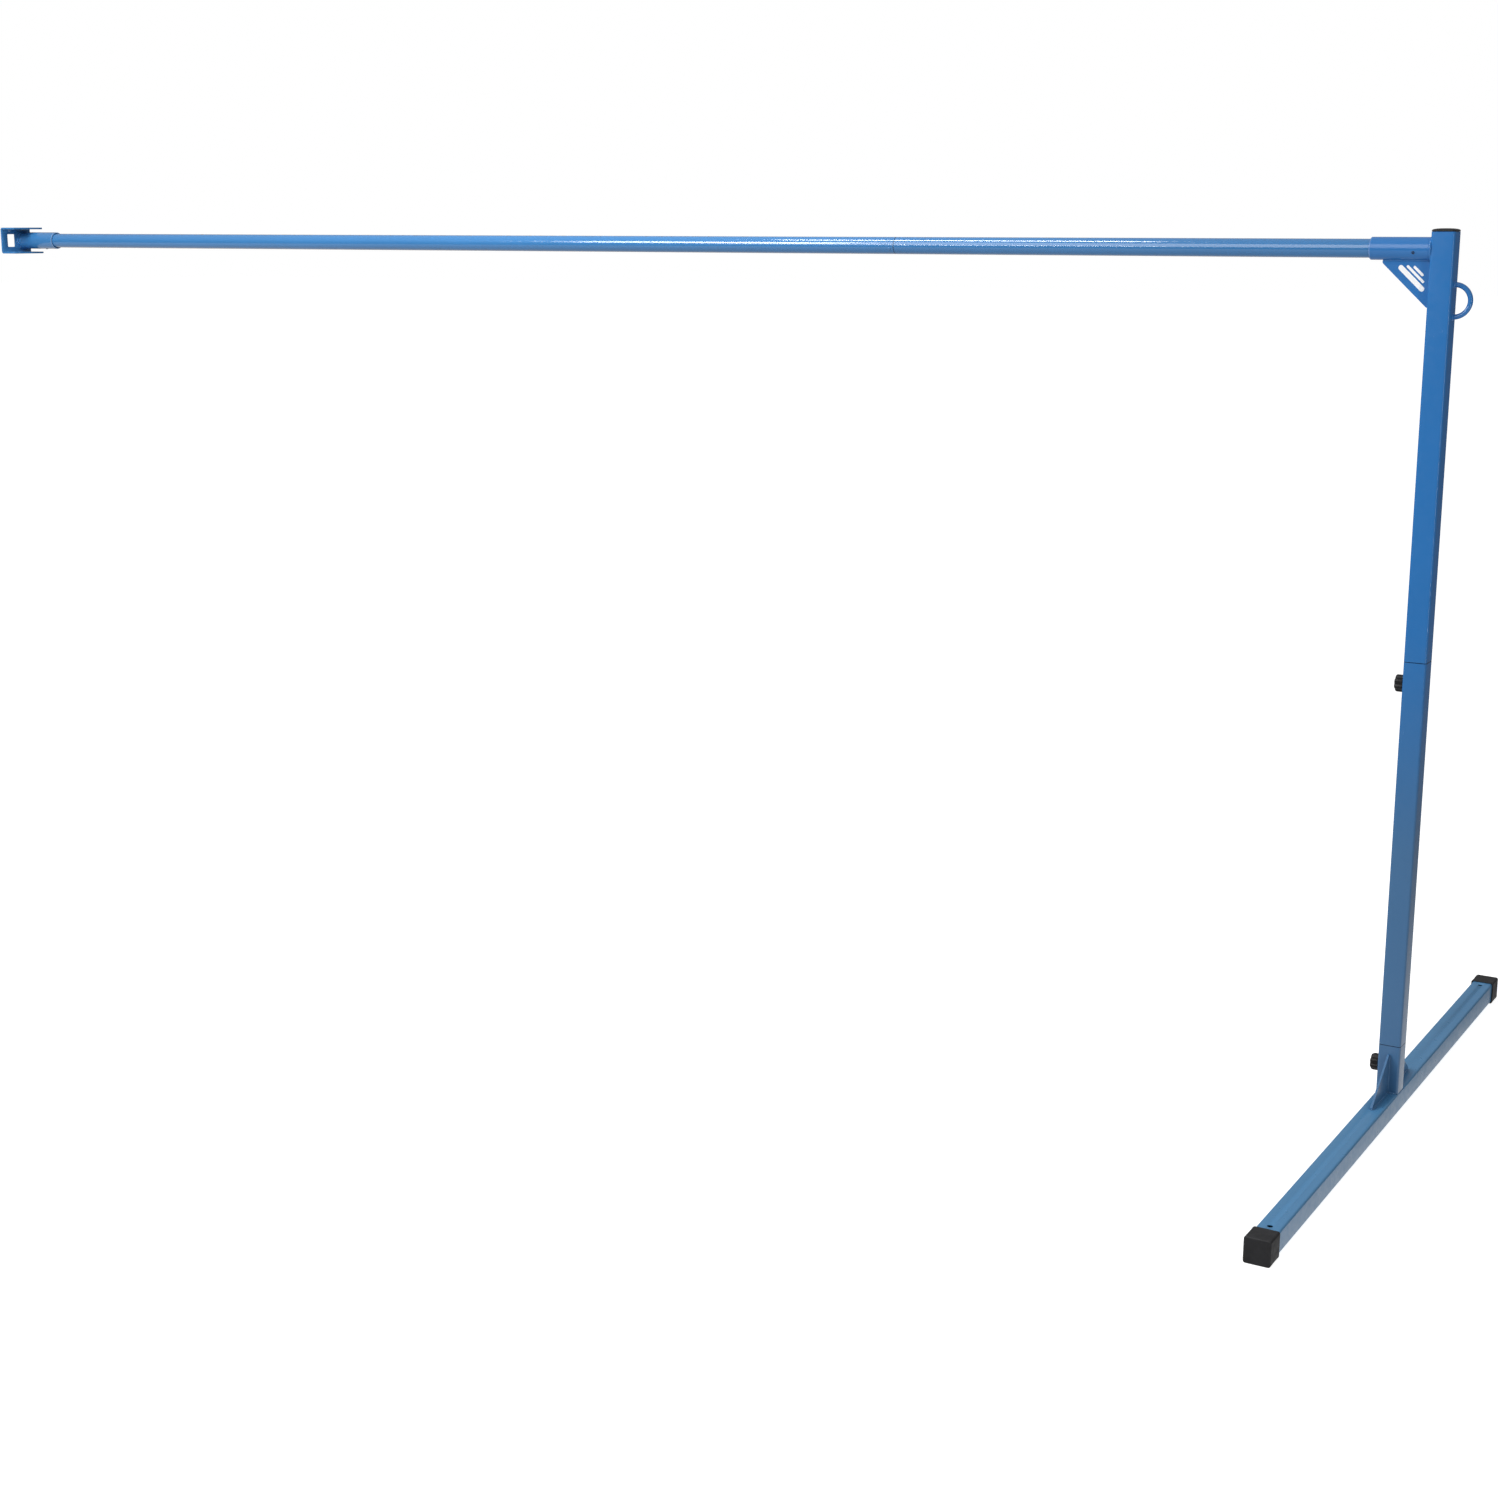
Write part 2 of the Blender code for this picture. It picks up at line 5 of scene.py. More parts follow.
import bmesh
import bpy
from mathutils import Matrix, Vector


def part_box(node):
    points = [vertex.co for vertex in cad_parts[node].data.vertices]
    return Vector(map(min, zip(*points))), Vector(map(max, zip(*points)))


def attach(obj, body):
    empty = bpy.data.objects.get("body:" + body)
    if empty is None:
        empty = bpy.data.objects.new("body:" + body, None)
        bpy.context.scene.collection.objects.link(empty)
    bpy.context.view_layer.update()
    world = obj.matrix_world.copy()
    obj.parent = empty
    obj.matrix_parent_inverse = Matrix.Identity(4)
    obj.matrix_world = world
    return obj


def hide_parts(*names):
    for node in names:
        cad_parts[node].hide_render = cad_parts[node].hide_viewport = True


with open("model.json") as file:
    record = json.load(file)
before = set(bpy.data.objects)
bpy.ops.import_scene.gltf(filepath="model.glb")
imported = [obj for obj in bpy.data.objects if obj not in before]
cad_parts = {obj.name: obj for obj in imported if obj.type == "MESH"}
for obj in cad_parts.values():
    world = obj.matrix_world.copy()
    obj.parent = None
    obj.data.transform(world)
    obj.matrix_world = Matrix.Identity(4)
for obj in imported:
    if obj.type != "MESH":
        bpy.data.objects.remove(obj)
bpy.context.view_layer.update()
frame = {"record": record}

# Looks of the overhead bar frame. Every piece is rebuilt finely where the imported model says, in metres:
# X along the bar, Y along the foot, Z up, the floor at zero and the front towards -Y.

# Sections of the tubes
TUBE_WALL = 0.0020
TUBE_RADIUS = 0.0050
BAR_WALL = 0.0020
SLEEVE_WALL = 0.0032
FERRULE_WALL = 0.0025
CAP_WALL = 0.0030
CAP_END_WALL = 0.0040
PLATE = 0.0050
BRACKET_BEND = 0.0065
BRACKET_INNER_BEND = 0.0015
GAP = 0.0003

# Ends of tubes: a chamfer, a dark line of painted shade beside it, and a stretch with some wear.
# A sleeve's rim has a wider chamfer and a wider band, lighter as a painted highlight.
CHAMFER = 0.0004
SHADE_BAND = 0.0008
RIM_HIGHLIGHT = (0.0009, 0.0026, 0.6)
WORN_END = 0.010

# Holes and fasteners
STAKE_HOLE_RADIUS = 0.0060
STUD_HOLE_RADIUS = 0.0046
STUD_HOLE_CUT = (-0.030, -0.015)
STUD_BORE = 0.0044
NUT_BORE = 0.0043
THREAD_PITCH = 0.00125
THREAD_CREST = 0.0040
THREAD_ROOT = 0.00338
KNOB_LOBES = 7
KNOB_RECESS = 0.0112
KNOB_EDGE = 0.0022
SCREW_RADIUS = 0.0030
SCREW_STANDS_OUT = 0.0012
RIVET_SHANK = 0.0022
RIVET_HEAD = 0.0040

# Facets
CORNER_STEPS = 10
ROUND_STEPS = 96
SMALL_STEPS = 48

# Weld beads
BEAD = 0.0031
RING_BEAD = 0.0032
SMALL_BEAD = 0.0021
BEAD_STEP = 0.00045
BEAD_RIPPLE = 0.0019
BEAD_SIDES = 12

# Heights between which the paint goes from greyer painted shade near the ground to the clean colour
SHADE_FULL_BELOW = 0.62
SHADE_GONE_ABOVE = 1.12

# How strongly each mark shows on the paint; the last two are bare edges with a painted highlight, and
# painted shade
CLOUDS = 0.10
RUBS = 0.08
SPECKS = 0.12
BARE_AND_HIGHLIGHT = 0.5
PAINTED_SHADE = 0.85

# Stripes on the gusset: a name, the distance in from the slope, the width, and both ends as
# fractions of the slope
STRIPE_FILM = 0.00018
STRIPES = (
    ("wide", 0.0165, 0.0110, 0.24, 0.76),
    ("narrow", 0.0285, 0.0055, 0.32, 0.68),
    ("short", 0.0375, 0.0055, 0.40, 0.60),
)

WEAR_AND_PAINTED_LIGHT = "wear_and_painted_light"
X, Y, Z = Vector((1, 0, 0)), Vector((0, 1, 0)), Vector((0, 0, 1))
chance = random.Random(7)


# Outlines, as lists of (u, v)


def circle(radius, steps=ROUND_STEPS):
    return [
        (radius * cos(2 * pi * step / steps), radius * sin(2 * pi * step / steps))
        for step in range(steps)
    ]


def rounded_box(width, height, radius, steps=CORNER_STEPS):
    points = []
    for corner, (side_u, side_v) in enumerate(((1, 1), (-1, 1), (-1, -1), (1, -1))):
        middle = Vector((side_u * (width / 2 - radius), side_v * (height / 2 - radius)))
        for step in range(steps + 1):
            angle = pi / 2 * (corner + step / steps)
            points.append(tuple(middle + radius * Vector((cos(angle), sin(angle)))))
    return points


def round_section(radius, steps=ROUND_STEPS):
    """A function that gives the circle a given depth under the surface."""
    return lambda inset: circle(radius - inset, steps)


def square_section(side, radius):
    def section(inset):
        width = side - 2 * inset
        return rounded_box(width, width, max(radius - inset, 0.0008))

    return section


# Places: functions that lay (u, v) at a distance w along an axis


def along_x(y, z):
    return lambda u, v, w: Vector((w, y + u, z + v))


def along_y(x, z):
    return lambda u, v, w: Vector((x + u, w, z + v))


def along_z(x, y):
    return lambda u, v, w: Vector((x + u, y + v, w))


def along(origin, direction, across):
    """Any axis: u runs along `across`, and v along the third direction."""
    third = direction.cross(across)
    return lambda u, v, w: origin + across * u + third * v + direction * w


# Mesh building


def settle(mesh, sharp=35):
    """Faces outwards, smooth where the surface is round."""
    form = bmesh.new()
    form.from_mesh(mesh)
    bmesh.ops.recalc_face_normals(form, faces=form.faces)
    form.to_mesh(mesh)
    form.free()
    mesh.shade_smooth()
    mesh.set_sharp_from_angle(angle=radians(sharp))


def loft(name, rings, wrap=False, sharp=35):
    """A skin over successive rings of points. Each ring is (points, amount of wear and painted light).

    `wrap` joins the last ring to the first, as on a tube with a bore. Otherwise the ends are filled.
    """
    count = len(rings[0][0])
    mesh = bpy.data.meshes.new(name)
    points = [point for ring, _ in rings for point in ring]
    faces = []
    for ring in range(len(rings) if wrap else len(rings) - 1):
        here = ring * count
        there = (ring + 1) % len(rings) * count
        for side in range(count):
            after = (side + 1) % count
            faces.append((here + side, here + after, there + after, there + side))
    if not wrap:
        faces.append(tuple(range(count)))
        faces.append(tuple(range(len(points) - count, len(points))))
    mesh.from_pydata(points, [], faces)
    wear_and_painted_light = mesh.attributes.new(WEAR_AND_PAINTED_LIGHT, "FLOAT", "POINT")
    wear_and_painted_light.data.foreach_set("value", [amount for ring, amount in rings for _ in ring])
    settle(mesh, sharp)
    piece = bpy.data.objects.new(name, mesh)
    bpy.context.scene.collection.objects.link(piece)
    return piece


def rings_at(section, place, stations):
    """Rings of a section that keeps its shape. A station is (inset, distance, amount of wear and painted
    light).
    """
    return [([place(u, v, w) for u, v in section(inset)], wear_and_painted_light) for inset, w, wear_and_painted_light in stations]


def hollow(name, section, wall, place, start, end, chamfer=CHAMFER, band=SHADE_BAND, rim=1.0):
    """A tube with chamfered ends. `rim` is the amount of wear and painted light there: over 0.8 is
    painted shade, about 0.6 is a painted highlight.
    """
    stations = (
        (chamfer, start, rim),
        (0, start + chamfer, rim),
        (0, start + band, rim * 0.9),
        (0, start + band + CHAMFER / 4, 0.2),
        (0, start + WORN_END, 0.0),
        (0, end - WORN_END, 0.0),
        (0, end - band - CHAMFER / 4, 0.2),
        (0, end - band, rim * 0.9),
        (0, end - chamfer, rim),
        (chamfer, end, rim),
        (wall - CHAMFER, end, rim),
        # The bore is marked 1.0: painted shade inside the tube.
        (wall, end - CHAMFER, 1.0),
        (wall, start + CHAMFER, 1.0),
        (wall - CHAMFER, start, rim),
    )
    return loft(name, rings_at(section, place, stations), wrap=True)


def prism(name, outline, place, start, end):
    """The outline, unchanged from start to end."""
    return loft(name, rings_at(lambda inset: outline, place, ((0, start, 0), (0, end, 0))))


def applied(piece):
    """The piece with its modifiers made part of its mesh."""
    graph = bpy.context.evaluated_depsgraph_get()
    mesh = bpy.data.meshes.new_from_object(piece.evaluated_get(graph))
    piece.modifiers.clear()
    piece.data = mesh
    return piece


def opening(name):
    """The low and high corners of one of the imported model's openings."""
    for entry in frame["record"]["physics"]["openings"]:
        if entry["name"] == name:
            return [Vector(corner) for corner in entry["box_m"]]
    raise KeyError(name)


def drill(piece, cutters, edge=0.0003):
    """Cuts each cutter out of the piece, and softens the new edges."""
    for cutter in cutters:
        cut = piece.modifiers.new(cutter.name, "BOOLEAN")
        cut.operation = "DIFFERENCE"
        cut.object = cutter
    soft = piece.modifiers.new("soft", "BEVEL")
    soft.width = edge
    soft.segments = 2
    soft.limit_method = "ANGLE"
    soft.angle_limit = radians(50)
    applied(piece)
    for cutter in cutters:
        bpy.data.objects.remove(cutter, do_unlink=True)
    settle(piece.data)
    return piece


def plate(name, outline, place, start, end):
    """A flat plate with broken edges. The outline is convex and runs anticlockwise."""
    inner = []
    count = len(outline)
    for index, point in enumerate(outline):
        here = Vector(point)
        before = (here - Vector(outline[index - 1])).normalized()
        after = (Vector(outline[(index + 1) % count]) - here).normalized()
        bisector = Vector((-(before.y + after.y), before.x + after.x))
        reach = CHAMFER * 2 / max(bisector.length_squared, 0.2)
        inner.append(tuple(here + bisector * reach))
    rings = []
    for loop, w, wear_and_painted_light in (
        (inner, start, 0.25),
        (outline, start + CHAMFER, 0.35),
        (outline, end - CHAMFER, 0.35),
        (inner, end, 0.25),
    ):
        rings.append(([place(u, v, w) for u, v in loop], wear_and_painted_light))
    return loft(name, rings)


def swept(name, path, radius_at, normals, sides, closed=False):
    """A round bead along points. `radius_at(distance, angle)` gives its radius there."""
    count = len(path)
    rings = []
    travelled = 0.0
    for index, point in enumerate(path):
        if closed:
            before, after = path[index - 1], path[(index + 1) % count]
        else:
            before, after = path[max(index - 1, 0)], path[min(index + 1, count - 1)]
        tangent = (after - before).normalized()
        normal = normals[index]
        normal = (normal - tangent * normal.dot(tangent)).normalized()
        side = tangent.cross(normal)
        ring = []
        for step in range(sides):
            angle = 2 * pi * step / sides
            reach = radius_at(travelled, angle)
            ring.append(point + (normal * cos(angle) + side * sin(angle)) * reach)
        rings.append((ring, 0.0))
        if index + 1 < count:
            travelled += (path[index + 1] - point).length
    return loft(name, rings, wrap=closed, sharp=60)


def spaced(points, normals, step, closed=False):
    """The same route with evenly spaced points, and normals that turn evenly between the given ones."""
    pairs = list(zip(points, normals))
    if closed:
        pairs.append(pairs[0])
    out_points, out_normals = [], []
    for (a, a_normal), (b, b_normal) in zip(pairs, pairs[1:]):
        pieces = max(1, round((b - a).length / step))
        for part in range(pieces):
            out_points.append(a.lerp(b, part / pieces))
            out_normals.append(a_normal.lerp(b_normal, part / pieces).normalized())
    if not closed:
        out_points.append(pairs[-1][0])
        out_normals.append(pairs[-1][1])
    return out_points, out_normals


# Materials


class Nodes:
    """A material's node tree, with short calls for the nodes used here."""

    def __init__(self, name):
        self.material = bpy.data.materials.new(name)
        self.material.use_nodes = True
        self.tree = self.material.node_tree
        self.shader = self.tree.nodes["Principled BSDF"]
        coordinates = self.tree.nodes.new("ShaderNodeTexCoord")
        self.place = coordinates.outputs["Object"]

    def link(self, output, target):
        self.tree.links.new(output, target)
        return target

    def height(self):
        """How far up the frame a point is, in metres."""
        node = self.tree.nodes.new("ShaderNodeSeparateXYZ")
        self.link(self.place, node.inputs["Vector"])
        return node.outputs["Z"]

    def noise(self, scale, detail=3.0, roughness=0.5, stretch=(1, 1, 1)):
        mapping = self.tree.nodes.new("ShaderNodeMapping")
        mapping.inputs["Scale"].default_value = stretch
        self.link(self.place, mapping.inputs["Vector"])
        texture = self.tree.nodes.new("ShaderNodeTexNoise")
        texture.inputs["Scale"].default_value = scale
        texture.inputs["Detail"].default_value = detail
        texture.inputs["Roughness"].default_value = roughness
        self.link(mapping.outputs["Vector"], texture.inputs["Vector"])
        return texture.outputs["Fac"]

    def spots(self, scale):
        texture = self.tree.nodes.new("ShaderNodeTexVoronoi")
        texture.inputs["Scale"].default_value = scale
        self.link(self.place, texture.inputs["Vector"])
        return texture.outputs["Distance"]

    def attribute(self, name):
        node = self.tree.nodes.new("ShaderNodeAttribute")
        node.attribute_name = name
        return node.outputs["Fac"]

    def ramp(self, value, low, high, start=0.0, end=1.0):
        """The value's stretch from low to high, mapped to start..end."""
        node = self.tree.nodes.new("ShaderNodeMapRange")
        node.inputs["From Min"].default_value = low
        node.inputs["From Max"].default_value = high
        node.inputs["To Min"].default_value = start
        node.inputs["To Max"].default_value = end
        self.link(value, node.inputs["Value"])
        return node.outputs["Result"]

    def math(self, operation, first, second):
        node = self.tree.nodes.new("ShaderNodeMath")
        node.operation = operation
        for value, target in ((first, node.inputs[0]), (second, node.inputs[1])):
            if isinstance(value, (int, float)):
                target.default_value = value
            else:
                self.link(value, target)
        return node.outputs["Value"]

    def mix(self, factor, first, second):
        node = self.tree.nodes.new("ShaderNodeMix")
        node.data_type = "RGBA"
        self.link(factor, node.inputs["Factor"])
        for value, target in ((first, node.inputs["A"]), (second, node.inputs["B"])):
            if isinstance(value, tuple):
                target.default_value = (*value, 1)
            else:
                self.link(value, target)
        return node.outputs["Result"]

    def bump(self, height, strength, distance, under=None):
        node = self.tree.nodes.new("ShaderNodeBump")
        node.inputs["Strength"].default_value = strength
        node.inputs["Distance"].default_value = distance
        self.link(height, node.inputs["Height"])
        if under is not None:
            self.link(under, node.inputs["Normal"])
        return node.outputs["Normal"]

    def set(self, **values):
        for name, value in values.items():
            socket = self.shader.inputs[name.replace("_", " ")]
            if isinstance(value, (int, float, tuple)):
                socket.default_value = value
            else:
                self.link(value, socket)


def shade(color, factor):
    return tuple(min(1.0, part * factor) for part in color)


def toward_gray(color, amount, level):
    return tuple(part * (1 - amount) + level * amount for part in color)


def powder_coat(name, upper, lower, rough=0.22, peel_strength=0.08, coat=0.0):
    """Satin powder coat: orange peel, rub marks, dust, bare edges with a painted highlight on rims, and
    painted shade in bores and at tube ends.

    The colour runs evenly from `lower`, greyer near the ground as painted shade, to `upper`. `coat` is
    clear gloss.
    """
    nodes = Nodes(name)
    # The colour turns greyer towards the ground: this is painted shade.
    height = nodes.ramp(nodes.height(), SHADE_FULL_BELOW, SHADE_GONE_ABOVE)
    color = nodes.mix(height, lower, upper)
    cloud = nodes.ramp(nodes.noise(5.0, 4.0), 0.3, 0.7, 0.0, CLOUDS)
    tone = nodes.mix(cloud, color, shade(upper, 0.55))
    rub_field = nodes.ramp(nodes.noise(9.0, 2.0), 0.52, 0.66)
    rub_lines = nodes.ramp(nodes.noise(120.0, 5.0, 0.7, (1, 1, 0.35)), 0.56, 0.74)
    rubs = nodes.math("MULTIPLY", rub_field, rub_lines)
    tone = nodes.mix(nodes.math("MULTIPLY", rubs, RUBS), tone, toward_gray(upper, 0.5, 0.40))
    specks = nodes.ramp(nodes.spots(230.0), 0.02, 0.09, 1.0, 0.0)
    sparse = nodes.ramp(nodes.noise(40.0, 1.0), 0.60, 0.68)
    specks = nodes.math("MULTIPLY", specks, sparse)
    tone = nodes.mix(nodes.math("MULTIPLY", specks, SPECKS), tone, toward_gray(upper, 0.6, 0.5))
    wear_and_painted_light_value = nodes.attribute(WEAR_AND_PAINTED_LIGHT)
    ragged = nodes.ramp(nodes.noise(260.0, 4.0, 0.65), 0.35, 0.65, -0.08, 0.08)
    # Lighter where the mark is about 0.4 to 0.66: bare edges, and a painted highlight on the sleeve rims.
    bare_and_highlight = nodes.ramp(nodes.math("ADD", wear_and_painted_light_value, ragged), 0.40, 0.52)
    below = nodes.ramp(wear_and_painted_light_value, 0.62, 0.70, 1.0, 0.0)
    bare_and_highlight = nodes.math("MULTIPLY", bare_and_highlight, below)
    tone = nodes.mix(nodes.math("MULTIPLY", bare_and_highlight, BARE_AND_HIGHLIGHT), tone, toward_gray(upper, 0.2, 0.85))
    # Nearly black where the mark is over 0.74: painted shade in tube bores and at tube ends.
    painted_shade_mask = nodes.ramp(wear_and_painted_light_value, 0.74, 0.86)
    tone = nodes.mix(nodes.math("MULTIPLY", painted_shade_mask, PAINTED_SHADE), tone, shade(upper, 0.12))
    peel = nodes.noise(620.0, 2.0, 0.45)
    flow = nodes.noise(26.0, 2.0)
    normal = nodes.bump(flow, peel_strength * 0.25, 0.0008)
    normal = nodes.bump(peel, peel_strength, 0.00014, normal)
    roughness = nodes.ramp(nodes.noise(70.0, 4.0), 0.3, 0.7, rough - 0.05, rough + 0.05)
    roughness = nodes.math("ADD", roughness, nodes.math("MULTIPLY", rubs, 0.08))
    nodes.set(Base_Color=tone, Roughness=roughness, Normal=normal)
    nodes.set(Specular_IOR_Level=0.5, Coat_Weight=coat, Coat_Roughness=0.08)
    return nodes.material


def moulded(name, color, rough_low, rough_high, grain, depth, dust):
    """Moulded rubber or nylon: spark-eroded grain, patchy sheen, a little dust, and a painted highlight
    on marked edges.
    """
    nodes = Nodes(name)
    patch = nodes.ramp(nodes.noise(38.0, 4.0), 0.35, 0.68)
    tone = nodes.mix(patch, shade(color, 0.82), shade(color, 1.25))
    scuff = nodes.math(
        "MULTIPLY",
        nodes.ramp(nodes.noise(24.0, 2.0), 0.50, 0.68),
        nodes.ramp(nodes.noise(310.0, 5.0, 0.75), 0.50, 0.70),
    )
    tone = nodes.mix(nodes.math("MULTIPLY", scuff, dust), tone, (0.22, 0.22, 0.22))
    # Lighter where edges are marked: a painted edge highlight.
    edge = nodes.ramp(nodes.attribute(WEAR_AND_PAINTED_LIGHT), 0.2, 1.0, 0.0, 0.22)
    tone = nodes.mix(edge, tone, (0.06, 0.06, 0.065))
    normal = nodes.bump(nodes.noise(grain, 2.0, 0.6), 0.35, depth)
    rough = nodes.ramp(nodes.noise(90.0, 3.0), 0.3, 0.7, rough_low, rough_high)
    nodes.set(Base_Color=tone, Roughness=rough, Normal=normal, Specular_IOR_Level=0.30)
    return nodes.material


def plated(name, color, rough, metallic):
    """Zinc plate or black oxide: cloudy, with fine drawn lines."""
    nodes = Nodes(name)
    cloud = nodes.ramp(nodes.noise(160.0, 4.0), 0.3, 0.7)
    tone = nodes.mix(cloud, shade(color, 0.78), shade(color, 1.12))
    lines = nodes.noise(700.0, 3.0, 0.6, (0.2, 1, 1))
    normal = nodes.bump(lines, 0.22, 0.00006)
    roughness = nodes.ramp(nodes.noise(240.0, 3.0), 0.3, 0.7, rough - 0.08, rough + 0.12)
    nodes.set(Base_Color=tone, Roughness=roughness, Normal=normal, Metallic=metallic)
    return nodes.material


def printed_vinyl(name):
    """White vinyl film with a faint print grain and slight yellowing."""
    nodes = Nodes(name)
    cloud = nodes.ramp(nodes.noise(60.0, 3.0), 0.3, 0.7)
    tone = nodes.mix(cloud, (0.90, 0.91, 0.91), (0.96, 0.96, 0.95))
    normal = nodes.bump(nodes.noise(480.0, 2.0), 0.12, 0.00005)
    rough = nodes.ramp(nodes.noise(130.0, 2.0), 0.3, 0.7, 0.30, 0.42)
    nodes.set(Base_Color=tone, Roughness=rough, Normal=normal)
    return nodes.material


def pale_floor(name):
    nodes = Nodes(name)
    tone = nodes.mix(nodes.noise(0.6, 2.0), (0.58, 0.58, 0.58), (0.62, 0.62, 0.62))
    nodes.set(Base_Color=tone, Roughness=0.9, Specular_IOR_Level=0.0)
    nodes.set(Emission_Color=(1, 1, 1, 1), Emission_Strength=0.80)
    return nodes.material


BLUE = (0.026, 0.165, 0.450)
# The greyer blue used near the ground is painted shade.
SHADED_BLUE = (0.062, 0.166, 0.330)
# The foot's lighter blue is a lit copy of the same paint: painted light, as if its top were lit from
# above.
LIT_FOOT_BLUE = (0.070, 0.222, 0.420)
BAR_BLUE = (0.040, 0.175, 0.405)
PAINT = powder_coat("blue_powder_coat", BLUE, SHADED_BLUE)
FOOT_PAINT = powder_coat("blue_powder_coat_foot", LIT_FOOT_BLUE, LIT_FOOT_BLUE, 0.32)
BAR_PAINT = powder_coat("blue_powder_coat_bar", BAR_BLUE, BAR_BLUE, 0.15, 0.0, 0.4)
BEAD_PAINT = powder_coat("blue_powder_coat_weld", BLUE, SHADED_BLUE, 0.17)
RUBBER = moulded("black_rubber", (0.018, 0.018, 0.020), 0.50, 0.66, 420.0, 0.00018, 0.10)
NYLON = moulded("black_nylon", (0.005, 0.005, 0.006), 0.34, 0.46, 900.0, 0.00009, 0.05)
ZINC = plated("zinc_plate", (0.60, 0.61, 0.62), 0.30, 1.0)
OXIDE = plated("black_oxide", (0.030, 0.030, 0.034), 0.42, 0.85)
VINYL = printed_vinyl("white_vinyl")


def own(piece, body, material, slot, *nodes):
    """Gives a piece its body and its material, and hides the model's nodes that it stands for."""
    piece.data.materials.clear()
    piece.data.materials.append(material)
    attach(piece, body)
    if nodes:
        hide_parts(*nodes)
    return piece


# Tubes


def square_tube(node, body, material, slot, upright=True):
    low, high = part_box(node)
    middle = (low + high) / 2
    side = high.x - low.x
    if upright:
        place, start, end = along_z(middle.x, middle.y), low.z, high.z
    else:
        place, start, end = along_y(middle.x, middle.z), low.y, high.y
    section = square_section(side, TUBE_RADIUS)
    piece = hollow(node + "_tube", section, TUBE_WALL, place, start, end)
    return own(piece, body, material, slot, node)


def round_tube(node, body, wall, material, slot, *ends):
    low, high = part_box(node)
    middle = (low + high) / 2
    section = round_section((high.z - low.z) / 2)
    place = along_x(middle.y, middle.z)
    piece = hollow(node + "_tube", section, wall, place, low.x, high.x, *ends)
    return own(piece, body, material, slot, node)


def stake_holes(beam):
    """Holes through both walls near each end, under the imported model's openings."""
    low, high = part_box("foot_beam")
    outline = circle(STAKE_HOLE_RADIUS, SMALL_STEPS)
    cutters = []
    for name in ("front_stake_hole", "rear_stake_hole"):
        near, far = opening(name)
        middle = (near + far) / 2
        place = along_z(middle.x, middle.y)
        cutters.append(prism(name, outline, place, low.z - 0.01, high.z + 0.01))
    drill(beam, cutters)


def stud_hole(tube, knob):
    low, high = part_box(knob + "_stud")
    middle = (low + high) / 2
    outline = circle(STUD_HOLE_RADIUS, SMALL_STEPS)
    place = along_x(middle.y, middle.z)
    drill(tube, [prism(knob + "_hole", outline, place, *STUD_HOLE_CUT)])


# Welds


def bead_radius(radius, length, closed):
    """Overlapping weld scales, with tapered ends on an open bead."""
    jitter = [chance.uniform(0.93, 1.08) for _ in range(int(length / BEAD_RIPPLE) + 3)]

    def radius_at(distance, angle):
        shifted = distance + 0.0009 * cos(angle)
        scale = max(0.0, shifted / BEAD_RIPPLE)
        index = min(int(scale), len(jitter) - 1)
        ripple = 0.90 + 0.16 * abs(sin(pi * scale))
        end = 1.0
        if not closed:
            nearest = min(distance, length - distance)
            end = min(1.0, 0.25 + 0.75 * sqrt(max(0.0, nearest) / 0.004))
        return radius * ripple * end * (0.6 + 0.4 * jitter[index])

    return radius_at


def weld(name, body, points, normals, radius=BEAD, closed=False):
    route, turned = spaced(points, normals, BEAD_STEP, closed)
    length = sum((b - a).length for a, b in zip(route, route[1:]))
    profile = bead_radius(radius, length, closed)
    lifted = [point + normal * radius * 0.15 for point, normal in zip(route, turned)]
    piece = swept(name, lifted, profile, turned, BEAD_SIDES, closed)
    return own(piece, body, BEAD_PAINT, "frame_paint")


def ring_weld(name, body, centre, radius, axis, bead=RING_BEAD):
    """A fillet round a tube that meets a face. `axis` points away from the face."""
    across = Y if abs(axis.x) > 0.5 else X
    third = axis.cross(across)
    points, normals = [], []
    for step in range(SMALL_STEPS):
        angle = 2 * pi * step / SMALL_STEPS
        out = across * cos(angle) + third * sin(angle)
        points.append(centre + out * radius)
        normals.append((out + axis).normalized())
    return weld(name, body, points, normals, bead, True)


def gusset_weld(name, body, corner, first, second, side):
    """Beads on both sides of a plate, from the end of one leg, through the corner, to the other's.

    `first` and `second` are the legs as vectors, and `side` is half the plate's thickness.
    """
    out = (first.normalized() + second.normalized()).normalized()
    for label, offset in (("a", side), ("b", -side)):
        away = offset.normalized()
        points = [corner + first + offset, corner + first * 0.04 + offset]
        normals = [(away + second.normalized()).normalized()] * 2
        points += [corner + second * 0.04 + offset, corner + second + offset]
        normals += [(away + first.normalized()).normalized()] * 2
        points.insert(2, corner + offset + out * 0.0015)
        normals.insert(2, (away + out).normalized())
        weld(name + "_" + label, body, points, normals, SMALL_BEAD)
    for label, leg, other in (("toe", second, first), ("top", first, second)):
        points = [corner + leg + side * turn for turn in (1.0, 0.35, -0.35, -1.0)]
        lift = (leg.normalized() + other.normalized()).normalized()
        normals = [(lift + side.normalized() * turn).normalized() for turn in (0.8, 0.3, -0.3, -0.8)]
        weld(name + "_" + label, body, points, normals, SMALL_BEAD)


# Foot


